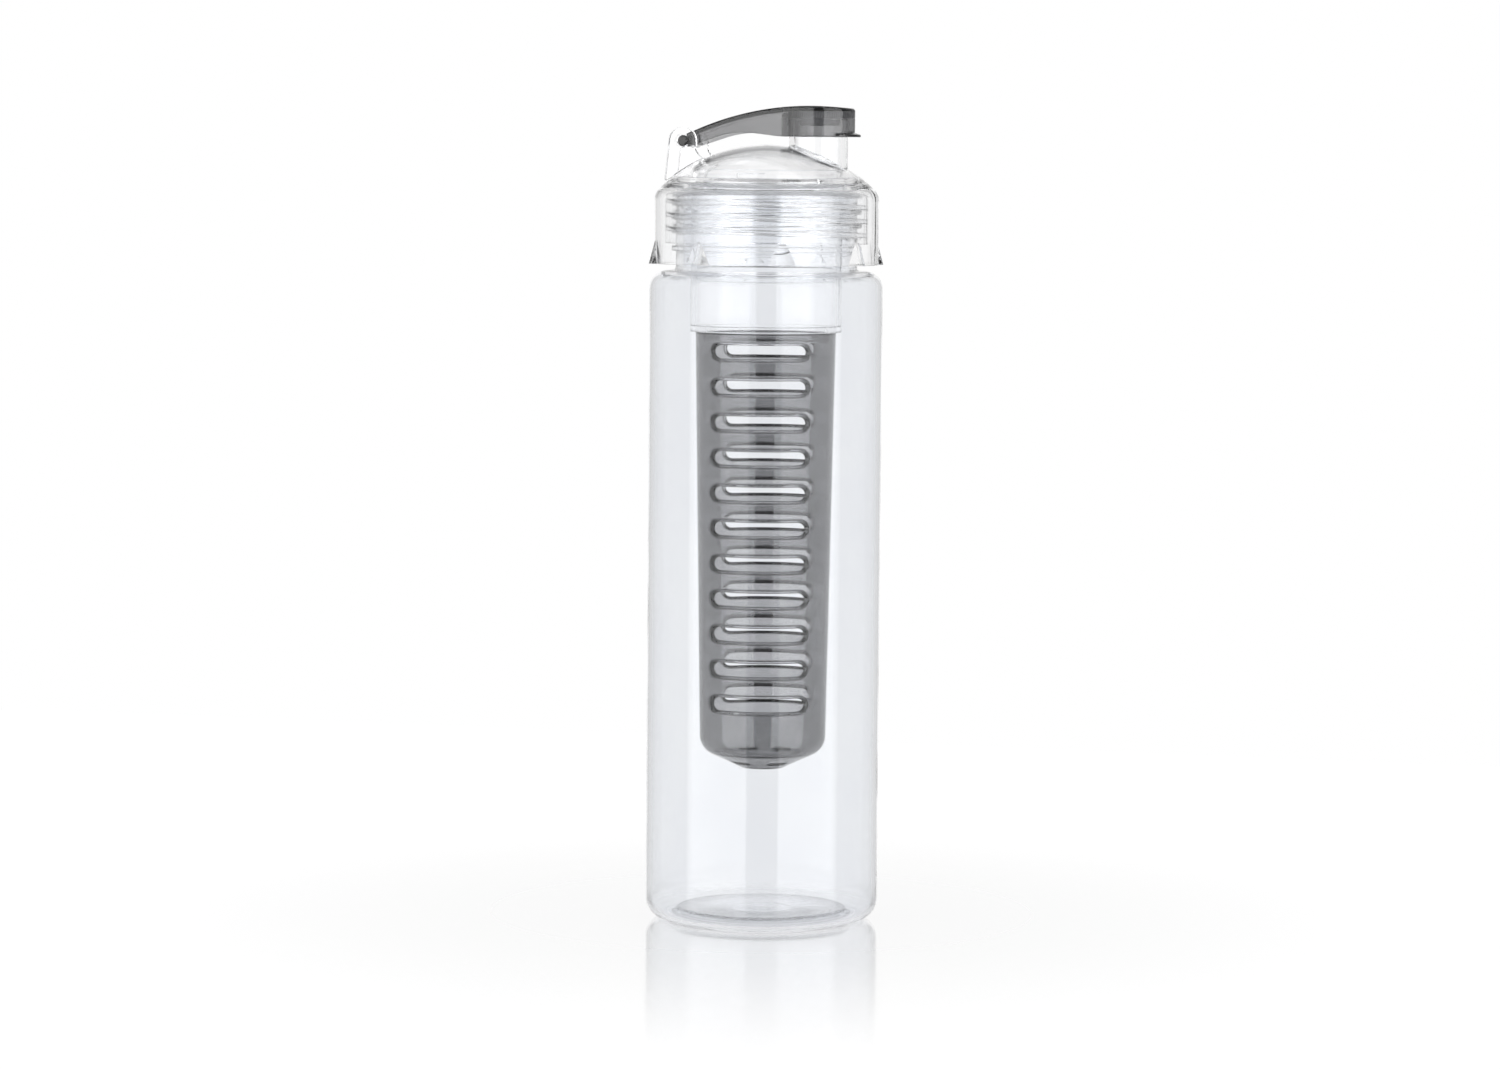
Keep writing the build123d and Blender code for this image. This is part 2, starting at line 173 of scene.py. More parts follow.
def blend(tree, share, first, second):
    """A colour between two colours."""
    node = add_node(
        tree, "ShaderNodeMix", {"data_type": "RGBA"}, {"Factor": share, "A": first, "B": second}
    )
    return node.outputs["Result"]


def relief(tree, height, depth, under, strength=1.0):
    """The normal that a layer of relief gives, over the normal under it."""
    inputs = {"Height": height, "Strength": strength, "Distance": depth}
    if under is not None:
        inputs["Normal"] = under
    return add_node(tree, "ShaderNodeBump", None, inputs).outputs[0]


# %% [markdown]
# The disc under the bottle is stippled, so that scratches don't show there. The
# grain is strongest near the disc's edge. It is too fine to model, so it is a
# layer of relief, kept by two smooth steps to what is near the axis and low.

# %% Stipple under the bottle
DISC_EDGE = (26.0 * MM, 24.6 * MM)
DISC_LEVEL = (4.6 * MM, 3.6 * MM)
STIPPLE_GROWS = (14.0 * MM, 24.2 * MM)
STIPPLE_LEAST = 0.3
STIPPLE_DEPTH = 0.5 * MM


def base_stipple(tree, place):
    """Where the stipple is, and its height there."""
    spot = add_node(tree, "ShaderNodeSeparateXYZ", None, {0: place}).outputs
    floor_point = vector_of(tree, X=spot["X"], Y=spot["Y"])
    length = add_node(tree, "ShaderNodeVectorMath", {"operation": "LENGTH"}, {0: floor_point})
    from_axis = length.outputs["Value"]
    in_disc = ramp_between(tree, from_axis, *DISC_EDGE)
    in_floor = ramp_between(tree, spot["Z"], *DISC_LEVEL)
    stippled = arithmetic(tree, "MULTIPLY", in_disc, in_floor)
    toward_rim = ramp_between(tree, from_axis, *STIPPLE_GROWS, STIPPLE_LEAST, 1.0)
    strength = arithmetic(tree, "MULTIPLY", stippled, toward_rim)
    return stippled, arithmetic(tree, "MULTIPLY", noise(tree, place, 900.0, 2.0), strength)


print(f"stipple within {DISC_EDGE[0] / MM:.1f} mm of the axis")

# %% [markdown]
# Clear moulded plastic is glass to a renderer, but never perfect glass. The
# wall carries slow ripples from the way it cooled, fine rub marks run round it
# from hands and shelves, and its gloss changes a little from place to place. A
# shape may carry a rim attribute, where a near black is mixed into the tint:
# painted shade on moulded edges that are too fine for bent light alone to draw
# their dark line. Lamps reach what is inside through a
# Transparent shader that only shadow and diffuse rays meet. The clear pieces
# mirror a third of what real plastic does, because a picture without a film
# curve would clip the lights in them to white.

# %% Moulded plastic
# Painted shade: the near black mixed into the tint where the rim attribute is, for the dark line that
# bent light draws at a moulded edge.
RIM_PAINTED_SHADE = (0.03, 0.03, 0.03, 1)
RUB_STRETCH = (120.0, 120.0, 2600.0)
RUB_SHARE = 1 / 90


def moulded_plastic(name, tint, shade, gloss, ripple, edge, seen_by_lamps, mirror):
    """Transparent moulded plastic with ripples, rub marks, soft edges, painted shade where a rim
    attribute is, and an uneven gloss.
    """
    material, tree, output = new_material(name)
    place = add_node(tree, "ShaderNodeTexCoord").outputs["Object"]
    drift = ramp_between(tree, noise(tree, place, 45.0, 3.0), 0.35, 0.65)
    # The rim attribute says where the tint is darkened by painted shade.
    painted_rim_shade = add_node(tree, "ShaderNodeAttribute", {"attribute_name": "rim"}).outputs["Fac"]
    stretch = add_node(tree, "ShaderNodeMapping", None, {"Vector": place, "Scale": RUB_STRETCH})
    rubs = noise(tree, stretch.outputs[0], 1.0, 4.0)
    stippled, stipple = base_stipple(tree, place)
    soft_edges = add_node(tree, "ShaderNodeBevel", {"samples": 6}, {"Radius": edge * MM}).outputs[0]
    normal = relief(tree, noise(tree, place, 60.0, 1.0), ripple, soft_edges)
    normal = relief(tree, rubs, ripple * RUB_SHARE, normal)
    normal = relief(tree, stipple, STIPPLE_DEPTH, normal)
    rub_gloss = ramp_between(tree, rubs, 0.3, 0.75, gloss[0], gloss[1])
    plastic = add_node(
        tree,
        "ShaderNodeBsdfPrincipled",
        None,
        {
            "Base Color": blend(tree, painted_rim_shade, blend(tree, drift, tint, shade), RIM_PAINTED_SHADE),
            "Roughness": arithmetic(tree, "MULTIPLY_ADD", stippled, 0.01, rub_gloss),
            "IOR": 1.5,
            "Transmission Weight": 1.0,
            "Specular Tint": (mirror, mirror, mirror, 1),
            "Normal": normal,
        },
    )
    path = add_node(tree, "ShaderNodeLightPath")
    lamp_ray = arithmetic(tree, "MAXIMUM", path.outputs["Is Shadow Ray"], path.outputs["Is Diffuse Ray"])
    clear = add_node(tree, "ShaderNodeBsdfTransparent", None, {"Color": seen_by_lamps})
    mix = add_node(
        tree, "ShaderNodeMixShader", None, {0: lamp_ray, 1: plastic.outputs[0], 2: clear.outputs[0]}
    )
    tree.links.new(mix.outputs[0], output.inputs["Surface"])
    return material


def dye(material, colour, density):
    """Fill a plastic with dye, so that it darkens with the thickness of the wall."""
    tree = material.node_tree
    output = next(node for node in tree.nodes if node.type == "OUTPUT_MATERIAL")
    fog = add_node(tree, "ShaderNodeVolumeAbsorption", None, {"Color": colour, "Density": density})
    tree.links.new(fog.outputs[0], output.inputs["Volume"])


# %% [markdown]
# Three plastics come from that one recipe. The bottle's is faintly blue, the
# cap's and the collar's almost without colour. The lid and the basket are dyed
# smoke grey. Their tint is only part of that: the dye is a volume, so a thick
# wall or two walls in line are darker than one, as in the real plastic.

# %% Clear, cap and smoke plastic
clear_plastic = moulded_plastic(
    "clear_plastic",
    tint=(0.915, 0.925, 0.94, 1),
    shade=(0.90, 0.91, 0.93, 1),
    gloss=(0.0, 0.02),
    ripple=0.00003,
    edge=0.3,
    seen_by_lamps=(0.95, 0.95, 0.955, 1),
    mirror=0.3,
)
cap_plastic = moulded_plastic(
    "clear_cap_plastic",
    tint=(0.998, 0.998, 1.0, 1),
    shade=(0.985, 0.988, 0.992, 1),
    gloss=(0.0, 0.03),
    ripple=0.00002,
    edge=0.4,
    seen_by_lamps=(0.95, 0.95, 0.955, 1),
    mirror=0.3,
)
smoke_plastic = moulded_plastic(
    "smoke_plastic",
    tint=(0.88, 0.88, 0.885, 1),
    shade=(0.80, 0.80, 0.805, 1),
    gloss=(0.01, 0.04),
    ripple=0.00002,
    edge=0.9,
    seen_by_lamps=(0.5, 0.5, 0.51, 1),
    mirror=1.0,
)
dye(smoke_plastic, (0.0, 0.0, 0.01, 1), 370.0)
print("plastics:", clear_plastic.name, cap_plastic.name, smoke_plastic.name)

# %% [markdown]
# Silicone is cloudy: light goes in and comes out again scattered. Subsurface
# scattering would do, but in a ring two millimetres thick a rough, tinted
# transmission looks the same and renders faster.

# %% Silicone
def cloudy_silicone(name, tint, shade):
    """Translucent matt rubber with a fine moulded grain."""
    material, tree, output = new_material(name)
    place = add_node(tree, "ShaderNodeTexCoord").outputs["Object"]
    cloud = noise(tree, place, 300.0, 3.0)
    grain = relief(tree, noise(tree, place, 2500.0, 2.0), 0.00003, None, 0.6)
    rubber = add_node(
        tree,
        "ShaderNodeBsdfPrincipled",
        None,
        {
            "Base Color": blend(tree, ramp_between(tree, cloud, 0.35, 0.65), tint, shade),
            "Roughness": ramp_between(tree, cloud, 0.3, 0.7, 0.35, 0.5),
            "IOR": 1.41,
            "Transmission Weight": 0.7,
            "Normal": grain,
        },
    )
    tree.links.new(rubber.outputs[0], output.inputs["Surface"])
    return material


silicone = cloudy_silicone("silicone", (0.80, 0.81, 0.83, 1), (0.72, 0.73, 0.75, 1))
print("rubber:", silicone.name)

# %% [markdown]
# The CAD pieces whose shape is already right stay as they are, and take their
# finish in the slots that they came with.

# %% Finishes on the CAD pieces
finish_of = {
    "screw_cap": cap_plastic,
    "flip_lid": smoke_plastic,
    "infuser_collar": cap_plastic,
    "neck_gasket": silicone,
    "spout_seal": silicone,
}
for name, material in finish_of.items():
    for slot in nodes[name].material_slots:
        slot.material = material
    print(name, "takes", material.name)

# %% [markdown]
# Both the bottle and the basket are walls of an even thickness, and a mould
# leaves no corner sharp. So their sections are drawn as lines with a radius at
# each corner. Where a wall needs more points than its corners give, as on the
# neck, rows are put in between.

# %% Lines with rounded corners
def rounded_line(corners, arc_step):
    """Points along a line of (radius, height, corner radius), with its corners rounded."""
    points = [Vector(corners[0][:2])]
    for before, corner, after in zip(corners, corners[1:], corners[2:]):
        here, bend = Vector(corner[:2]), corner[2]
        into = (here - Vector(before[:2])).normalized()
        out = (Vector(after[:2]) - here).normalized()
        angle = into.angle(out)
        if bend == 0 or angle < 0.001:
            points.append(here)
            continue
        start = here - into * bend * tan(angle / 2)
        side = 1 if into.x * out.y - into.y * out.x > 0 else -1
        centre = start + Vector((-into.y, into.x)) * side * bend
        steps = max(2, round(angle * max(bend, 1.0) / arc_step))
        spoke = start - centre
        for index in range(steps + 1):
            swing = side * angle * index / steps
            points.append(centre + Matrix.Rotation(swing, 2) @ spoke)
    points.append(Vector(corners[-1][:2]))
    return points


def with_rows(points, low, high, spacing):
    """The same points, with more rows on the straight run between two heights."""
    result = [points[0]]
    for before, after in zip(points, points[1:]):
        straight_up = abs(before.x - after.x) < 0.001 and low <= before.y < after.y <= high
        count = max(1, round((after.y - before.y) / spacing)) if straight_up else 1
        for index in range(1, count + 1):
            result.append(before.lerp(after, index / count))
    return result


# %% [markdown]
# The bottle is blown plastic with a moulded neck, a round form whose thread
# can't be turned on a lathe. Its section is drawn once, from the middle of the
# base outside, up over the rim and down inside to the middle of the floor.
# Spinning that line gives a closed shell. Drawing it here, not editing the CAD
# solid, gives the neck rows fine enough to carry a thread that is one with the
# wall, so light bends in it as in the real one.

# %% Bottle sizes
bottle_wall = 1.4
heel_radius = 6.2
foot_ring = 2.8
push_up = 1.8
slope_width = 1.6
slope_bend = 0.8
gate_radius = 1.5
gate_level = 1.5
groove_inner = 9.1
groove_outer = 10.3
groove_side = 0.2
groove_level = 1.65
shoulder_bend = 5.4
root_bend = 0.9
bead_reach = 1.3
throat_bend = 2.2
foot_inner = body_radius - heel_radius - foot_ring
slope_top = foot_inner - slope_width
bead_radius = neck_radius + bead_reach
rim_middle = (neck_radius + neck_bore) / 2
print(f"foot ring {2 * foot_inner:.1f} mm across inside, base pushed up {push_up} mm")

# %% Section outside, from the base to the rim
BOTTLE_ARC_STEP = 0.45
NECK_ROW = 0.14

outside = rounded_line(
    [
        (0, gate_level, 0), (gate_radius, gate_level, 0.1), (gate_radius + 0.2, push_up, 0.1),
        (groove_inner - groove_side, push_up, 0.05), (groove_inner, groove_level, 0.05),
        (groove_outer, groove_level, 0.05), (groove_outer + groove_side, push_up, 0.05),
        (slope_top, push_up, slope_bend), (foot_inner, 0, slope_bend),
        (body_radius, 0, heel_radius), (body_radius, shoulder_top, shoulder_bend),
        (neck_radius, shoulder_top, root_bend), (neck_radius, bead_bottom, 0.2),
        (bead_radius, bead_bottom, 0.4), (bead_radius, bead_top, 0.4), (neck_radius, bead_top, 0.2),
        (neck_radius, neck_top, 0.3), (rim_middle, neck_top, 0),
    ],
    BOTTLE_ARC_STEP,
)
outside = with_rows(outside, bead_top, neck_top, NECK_ROW)
print(f"outside of {len(outside)} points")

# %% Section inside, from the rim to the floor
wall_shift = bottle_wall * tan(atan(push_up / slope_width) / 2)
inner_radius = body_radius - bottle_wall
inner_shoulder = shoulder_top - bottle_wall
inner_floor = push_up + bottle_wall
inside = rounded_line(
    [
        (rim_middle, neck_top, 0), (neck_bore, neck_top, 0.3),
        (neck_bore, inner_shoulder, throat_bend),
        (inner_radius, inner_shoulder, shoulder_bend - bottle_wall),
        (inner_radius, bottle_wall, heel_radius - bottle_wall),
        (foot_inner + wall_shift, bottle_wall, slope_bend),
        (slope_top + wall_shift, inner_floor, slope_bend),
        (0, inner_floor, 0),
    ],
    BOTTLE_ARC_STEP,
)
section = outside + inside[1:]
print(f"section of {len(section)} points")

# %% Spin the section
def spun_mesh(name, line, columns):
    """A closed mesh of revolution from a line that starts and ends on the axis."""
    mesh = bpy.data.meshes.new(name)
    rings = line[1:-1]
    verts = [(0, 0, line[0].y * MM)]
    for point in rings:
        for column in range(columns):
            turn = 2 * pi * column / columns
            verts.append((point.x * cos(turn) * MM, point.x * sin(turn) * MM, point.y * MM))
    verts.append((0, 0, line[-1].y * MM))
    faces = []
    for column in range(columns):
        after = (column + 1) % columns
        faces.append((0, 1 + after, 1 + column))
        for row in range(len(rings) - 1):
            low, high = 1 + row * columns, 1 + (row + 1) * columns
            faces.append((low + column, low + after, high + after, high + column))
        last = 1 + (len(rings) - 1) * columns
        faces.append((len(verts) - 1, last + column, last + after))
    mesh.from_pydata(verts, [], faces)
    mesh.polygons.foreach_set("use_smooth", [True] * len(mesh.polygons))
    mesh.update()
    return mesh


BOTTLE_COLUMNS = 192
bottle_mesh = spun_mesh("bottle_shell", section, BOTTLE_COLUMNS)

# %% Mark the band that carries the thread
BAND_MARGIN = 0.25
band = bottle_mesh.attributes.new("thread_band", "FLOAT", "POINT")
reach = [0.0] * len(bottle_mesh.vertices)
for index, vertex in enumerate(bottle_mesh.vertices):
    on_wall = abs(hypot(vertex.co.x, vertex.co.y) / MM - neck_radius) < 0.05
    in_band = bead_top + BAND_MARGIN < vertex.co.z / MM < neck_top - BAND_MARGIN
    reach[index] = 1.0 if on_wall and in_band else 0.0
band.data.foreach_set("value", reach)
bottle = bpy.data.objects.new("bottle_shell", bottle_mesh)
bpy.context.scene.collection.objects.link(bottle)
bottle_mesh.materials.append(clear_plastic)
print(f"{len(bottle_mesh.vertices)} points, {int(sum(reach))} of them carry the thread")

# %% [markdown]
# What repeats or follows a rule is grown by Geometry Nodes: the two threads and
# the slotted wall. Each tree has its sizes as named inputs and is run once on
# its object. The result is kept as a plain mesh, and the modifier goes.

# %% Helpers for Geometry Nodes
def input_socket(tree, name, kind, value):
    """Add a named input to a Geometry Nodes tree and return its identifier."""
    item = tree.interface.new_socket(name, in_out="INPUT", socket_type=kind)
    if value is not None:
        item.default_value = value
    return item.identifier


def new_geometry_tree(name, sizes):
    """A Geometry Nodes tree with geometry in and out and named sizes."""
    tree = bpy.data.node_groups.new(name, "GeometryNodeTree")
    input_socket(tree, "Geometry", "NodeSocketGeometry", None)
    tree.interface.new_socket("Geometry", in_out="OUTPUT", socket_type="NodeSocketGeometry")
    identifiers = {key: input_socket(tree, key, "NodeSocketFloat", value) for key, value in sizes.items()}
    inlet = add_node(tree, "NodeGroupInput")
    outlet = add_node(tree, "NodeGroupOutput")
    return tree, inlet, outlet, identifiers


def point_value(tree, name):
    """A number that the mesh carries at each point, as a socket."""
    settings, inputs = {"data_type": "FLOAT"}, {"Name": name}
    return add_node(tree, "GeometryNodeInputNamedAttribute", settings, inputs).outputs["Attribute"]


def finish_tree(tree, outlet, geometry, material):
    """End a tree as the export needs it: no instances, and one material."""
    real = add_node(tree, "GeometryNodeRealizeInstances", None, {"Geometry": geometry})
    painted = add_node(
        tree, "GeometryNodeSetMaterial", None, {"Geometry": real.outputs[0], "Material": material}
    )
    tree.links.new(painted.outputs[0], outlet.inputs[0])


def applied(piece, modifier, name):
    """Take a modifier off a piece, and return the mesh that it gave."""
    evaluated = piece.evaluated_get(bpy.context.evaluated_depsgraph_get())
    mesh = bpy.data.meshes.new_from_object(evaluated)
    mesh.name = name
    piece.modifiers.remove(modifier)
    return mesh


def grown(host, tree, identifiers, sizes, name):
    """Run a tree on an object and return the result as a plain mesh."""
    modifier = host.modifiers.new(tree.name, "NODES")
    modifier.node_group = tree
    for key, value in sizes.items():
        modifier[identifiers[key]] = value
    return applied(host, modifier, name)


# %% [markdown]
# A thread climbs one pitch in each turn. Its ridge could be swept along a helix
# and joined to the neck, but then light would meet a seam between the two. So
# the tree raises the neck's own skin. It works out how far a point lies from
# the nearest turn of the helix, lifts it by the shape of the ridge, and fades
# the ridge at both ends as a mould does.

# %% Sizes of the neck's thread
THREAD_PITCH = 4.25 * MM
thread_sizes = {
    "Pitch": THREAD_PITCH,
    "Ridge height": 1.4 * MM,
    "Root width": 2.1 * MM,
    "Crest width": 0.9 * MM,
    "First height": 210.64 * MM,
    "Turns": 3.0,
    "Run-out": 0.12,
}
thread_tree, inlet, outlet, thread_ids = new_geometry_tree("neck_thread", thread_sizes)
print(f"neck thread: {thread_sizes['Turns']} turns at {THREAD_PITCH / MM} mm pitch")

# %% How far each point is lifted
position = add_node(thread_tree, "GeometryNodeInputPosition").outputs[0]
parts = add_node(thread_tree, "ShaderNodeSeparateXYZ", None, {0: position}).outputs
angle = arithmetic(thread_tree, "ARCTAN2", parts["Y"], parts["X"])
turned = arithmetic(thread_tree, "DIVIDE", angle, 2 * pi)
climbed = arithmetic(thread_tree, "SUBTRACT", parts["Z"], inlet.outputs["First height"])
level = arithmetic(thread_tree, "DIVIDE", climbed, inlet.outputs["Pitch"])
offset = arithmetic(thread_tree, "SUBTRACT", level, turned)
nearest = arithmetic(thread_tree, "ROUND", offset)
away = arithmetic(thread_tree, "ABSOLUTE", arithmetic(thread_tree, "SUBTRACT", offset, nearest))
distance = arithmetic(thread_tree, "MULTIPLY", away, inlet.outputs["Pitch"])
half_root = arithmetic(thread_tree, "DIVIDE", inlet.outputs["Root width"], 2.0)
half_crest = arithmetic(thread_tree, "DIVIDE", inlet.outputs["Crest width"], 2.0)
ridge = ramp_between(thread_tree, distance, half_root, half_crest)
along = arithmetic(thread_tree, "ADD", nearest, turned)
fade_in = ramp_between(thread_tree, along, 0.0, inlet.outputs["Run-out"])
left = arithmetic(thread_tree, "SUBTRACT", inlet.outputs["Turns"], along)
fade_out = ramp_between(thread_tree, left, 0.0, inlet.outputs["Run-out"])
lift = arithmetic(thread_tree, "MULTIPLY", ridge, inlet.outputs["Ridge height"])
lift = arithmetic(thread_tree, "MULTIPLY", lift, arithmetic(thread_tree, "MULTIPLY", fade_in, fade_out))
lift = arithmetic(thread_tree, "MULTIPLY", lift, point_value(thread_tree, "thread_band"))

# %% Lift the neck's skin
push = vector_of(
    thread_tree,
    X=arithmetic(thread_tree, "MULTIPLY", lift, arithmetic(thread_tree, "COSINE", angle)),
    Y=arithmetic(thread_tree, "MULTIPLY", lift, arithmetic(thread_tree, "SINE", angle)),
)
pushed = add_node(
    thread_tree,
    "GeometryNodeSetPosition",
    None,
    {"Geometry": inlet.outputs["Geometry"], "Offset": push},
)
finish_tree(thread_tree, outlet, pushed.outputs[0], clear_plastic)
bottle.data = grown(bottle, thread_tree, thread_ids, thread_sizes, "bottle_shell")
print(f"bottle: {len(bottle.data.polygons)} faces")
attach(bottle, "bottle")
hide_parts("bottle_body")

# %% [markdown]
# The cap's sleeve has a thread of the same pitch on its inside. The sleeve is a
# CAD piece, so its thread is a piece of its own. A spiral curve carries a
# four-sided profile, and the curve's radius shrinks to almost nothing at both
# ends. The profile hangs half a ridge below the curve. Across the wall it is
# centred on the curve, so over half of it is set into the wall, and 0.6 mm
# stands proud. A fault is left here: the spiral turns clockwise as it climbs,
# so this thread is left-handed, while the neck's is right-handed. The spiral's
# Reverse input would turn it round.

# %% Sizes of the sleeve's thread
sleeve_sizes = {
    "Pitch": THREAD_PITCH,
    "Middle radius": 29.9 * MM,
    "Ridge height": 1.35 * MM,
    "Root width": 1.9 * MM,
    "Crest width": 0.8 * MM,
    "First height": 212.765 * MM,
    "Turns": 2.5,
    "Run-out": 0.06,
}
sleeve_tree, inlet, outlet, sleeve_ids = new_geometry_tree("sleeve_thread", sleeve_sizes)
print(f"sleeve thread: {sleeve_sizes['Turns']} turns")

# %% Helix with faded ends
FADED_TO = 0.02
helix = add_node(
    sleeve_tree,
    "GeometryNodeCurveSpiral",
    None,
    {
        "Resolution": 96,
        "Rotations": inlet.outputs["Turns"],
        "Start Radius": inlet.outputs["Middle radius"],
        "End Radius": inlet.outputs["Middle radius"],
        "Height": arithmetic(sleeve_tree, "MULTIPLY", inlet.outputs["Turns"], inlet.outputs["Pitch"]),
    },
)
first_height = vector_of(sleeve_tree, Z=inlet.outputs["First height"])
raised = add_node(
    sleeve_tree,
    "GeometryNodeTransform",
    None,
    {"Geometry": helix.outputs[0], "Translation": first_height},
)
upright = add_node(
    sleeve_tree, "GeometryNodeSetCurveNormal", {"mode": "Z_UP"}, {"Curve": raised.outputs[0]}
)
factor = add_node(sleeve_tree, "GeometryNodeSplineParameter").outputs["Factor"]
fade_in = ramp_between(sleeve_tree, factor, 0.0, inlet.outputs["Run-out"], FADED_TO, 1.0)
rest_of_it = arithmetic(sleeve_tree, "SUBTRACT", 1.0, factor)
fade_out = ramp_between(sleeve_tree, rest_of_it, 0.0, inlet.outputs["Run-out"], FADED_TO, 1.0)
faded = add_node(
    sleeve_tree,
    "GeometryNodeSetCurveRadius",
    None,
    {"Curve": upright.outputs[0], "Radius": arithmetic(sleeve_tree, "MULTIPLY", fade_in, fade_out)},
)

# %% Sweep the ridge
ridge_profile = add_node(
    sleeve_tree,
    "GeometryNodeCurvePrimitiveQuadrilateral",
    {"mode": "TRAPEZOID"},
    {
        "Height": inlet.outputs["Ridge height"],
        "Bottom Width": inlet.outputs["Root width"],
        "Top Width": inlet.outputs["Crest width"],
        "Offset": 0.0,
    },
)
half_height = arithmetic(sleeve_tree, "MULTIPLY", inlet.outputs["Ridge height"], 0.5)
on_curve = add_node(
    sleeve_tree,
    "GeometryNodeTransform",
    None,
    {
        "Geometry": ridge_profile.outputs[0],
        "Translation": vector_of(sleeve_tree, Y=half_height),
        "Rotation": (0, 0, pi / 2),
    },
)
swept = add_node(
    sleeve_tree,
    "GeometryNodeCurveToMesh",
    None,
    {"Curve": faded.outputs[0], "Profile Curve": on_curve.outputs[0], "Fill Caps": True},
)
finish_tree(sleeve_tree, outlet, swept.outputs[0], cap_plastic)
sleeve_thread = bpy.data.objects.new("sleeve_thread", bpy.data.meshes.new("sleeve_seed"))
bpy.context.scene.collection.objects.link(sleeve_thread)
sleeve_thread.data = grown(sleeve_thread, sleeve_tree, sleeve_ids, sleeve_sizes, "sleeve_thread")
radii = [hypot(v.co.x, v.co.y) / MM for v in sleeve_thread.data.vertices]
heights = [v.co.z / MM for v in sleeve_thread.data.vertices]
print(f"sleeve thread: radius {min(radii):.2f} to {max(radii):.2f} mm")
print(f"sleeve thread: height {min(heights):.2f} to {max(heights):.2f} mm")
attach(sleeve_thread, "cap")

# %% [markdown]
# The basket is what the eye goes to first: a smoke grey cup with two ladders of
# eleven slots. The slots could be cut with a Boolean, but a cut leaves razor
# sharp edges, and on clear plastic it is the rounded edge that draws the dark
# line round each slot. So one slot is drawn with its rounded rim in a flat
# piece of wall, and Geometry Nodes repeats that piece and wraps it into a cup.
# The slot opens a little less wide on the inside, at its ends most of all. Each
# point also gets painted shade by its place on the rim: a dark line painted
# where the bent light of a real rim shows one.

# %% Basket sizes
basket_low, basket_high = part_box("infuser_basket")
basket_top = basket_high.z / MM
basket_bottom = basket_low.z / MM
basket_wall = 1.5
mouth_to_heel = 2.1
foot_height = 12.9
first_slot_drop = 5.7
last_slot_rise = 8.2
ladder_turn = 8.5
basket_mouth = (basket_high.x - basket_low.x) / 2 / MM
basket_heel = basket_mouth - mouth_to_heel
basket_taper = basket_top - basket_bottom - foot_height
slot_rows = 11
first_slot = basket_top - first_slot_drop
slot_pitch = (basket_taper - first_slot_drop - last_slot_rise) / (slot_rows - 1)
slot_half_length = 15.3
slot_half_height = 3.05
slot_draft = 1.15
end_draft = 1.75
lip_bend = 0.5
print(f"{slot_rows} slots {2 * slot_half_length:.1f} mm long, {slot_pitch:.2f} mm apart, on each side")


# %% Outline of a slot, its rim, and the rim's painted shade
# Painted shade on the rim: darkest near its outer edge, a thin line at its inner edge, and a faint one on
# the slant between.
OUTER_PAINTED_SHADE = (0.1, 0.3)
INNER_PAINTED_SHADE_WIDTH = 0.16
SLANT_PAINTED_SHADE = 0.04
SLANT_STEPS = 8


def slot_line(closed_by):
    """Upper half of a slot's outline, as (across, height), closed by a length at its long edges."""
    radius = slot_half_height - closed_by
    straight = slot_half_length - slot_half_height - closed_by * (end_draft / slot_draft - 1)
    turns = [pi / 16 * step for step in range(8)]
    tip = [(straight + radius * cos(turn), radius * sin(turn)) for turn in turns]
    middle = [(straight * (1 - step / 12), radius) for step in range(25)]
    return tip + middle + [(-across, height) for across, height in reversed(tip)]


def rim_painted_shade(closed_by):
    """How much shade is painted on the rim: most at its outer edge, and again at its inner one."""
    darkest, fades_over = OUTER_PAINTED_SHADE
    outer = max(0.0, 1 - abs(closed_by - darkest) / fades_over)
    inner = max(0.0, 1 - abs(closed_by - slot_draft) / INNER_PAINTED_SHADE_WIDTH)
    return max(outer, inner, SLANT_PAINTED_SHADE if closed_by > darkest else 0.0)


shares = [step / SLANT_STEPS for step in range(1, SLANT_STEPS)]
slant = [(share * slot_draft, share * basket_wall, 0) for share in shares]
outer_edge = [(-0.3, 0, 0), (0, 0, 0.25)]
inner_edge = [(slot_draft, basket_wall, 0.12), (0.8, basket_wall, 0)]
rim_section = rounded_line(outer_edge + slant + inner_edge, 0.4)
print(f"rim of {len(rim_section)} rings")

# %% Points and faces of the flat wall
SIDE_STEPS = 16
SIDE_LENGTH = 12
ROW_SHARES = (0, 0.15, 0.6, 1)

flat = bmesh.new()
across_layer = flat.verts.layers.float.new("across")
round_layer = flat.verts.layers.float.new("round")
# The rim layer holds each point's painted shade, which the plastic mixes into its tint.
painted_shade_layer = flat.verts.layers.float.new("rim")


def flat_point(across, share, depth, height, shade=0.0):
    """A point of the flat wall: across the ladder, or a share of the way round its side, with the painted
    shade that it carries.
    """
    point = flat.verts.new(Vector((across + share * SIDE_LENGTH, depth, height)) * MM)
    point[across_layer] = across * MM
    point[round_layer] = share
    point[painted_shade_layer] = shade
    return point


def stitch(mesh, first, second, closed=False):
    """Faces between two rows of points, or between two closed rings."""
    for index in range(len(first) - (0 if closed else 1)):
        after = (index + 1) % len(first)
        mesh.faces.new([first[index], first[after], second[after], second[index]])


def skin(mesh, rings):
    """Faces between each closed ring and the next."""
    for ring, further in zip(rings, rings[1:]):
        stitch(mesh, ring, further, closed=True)


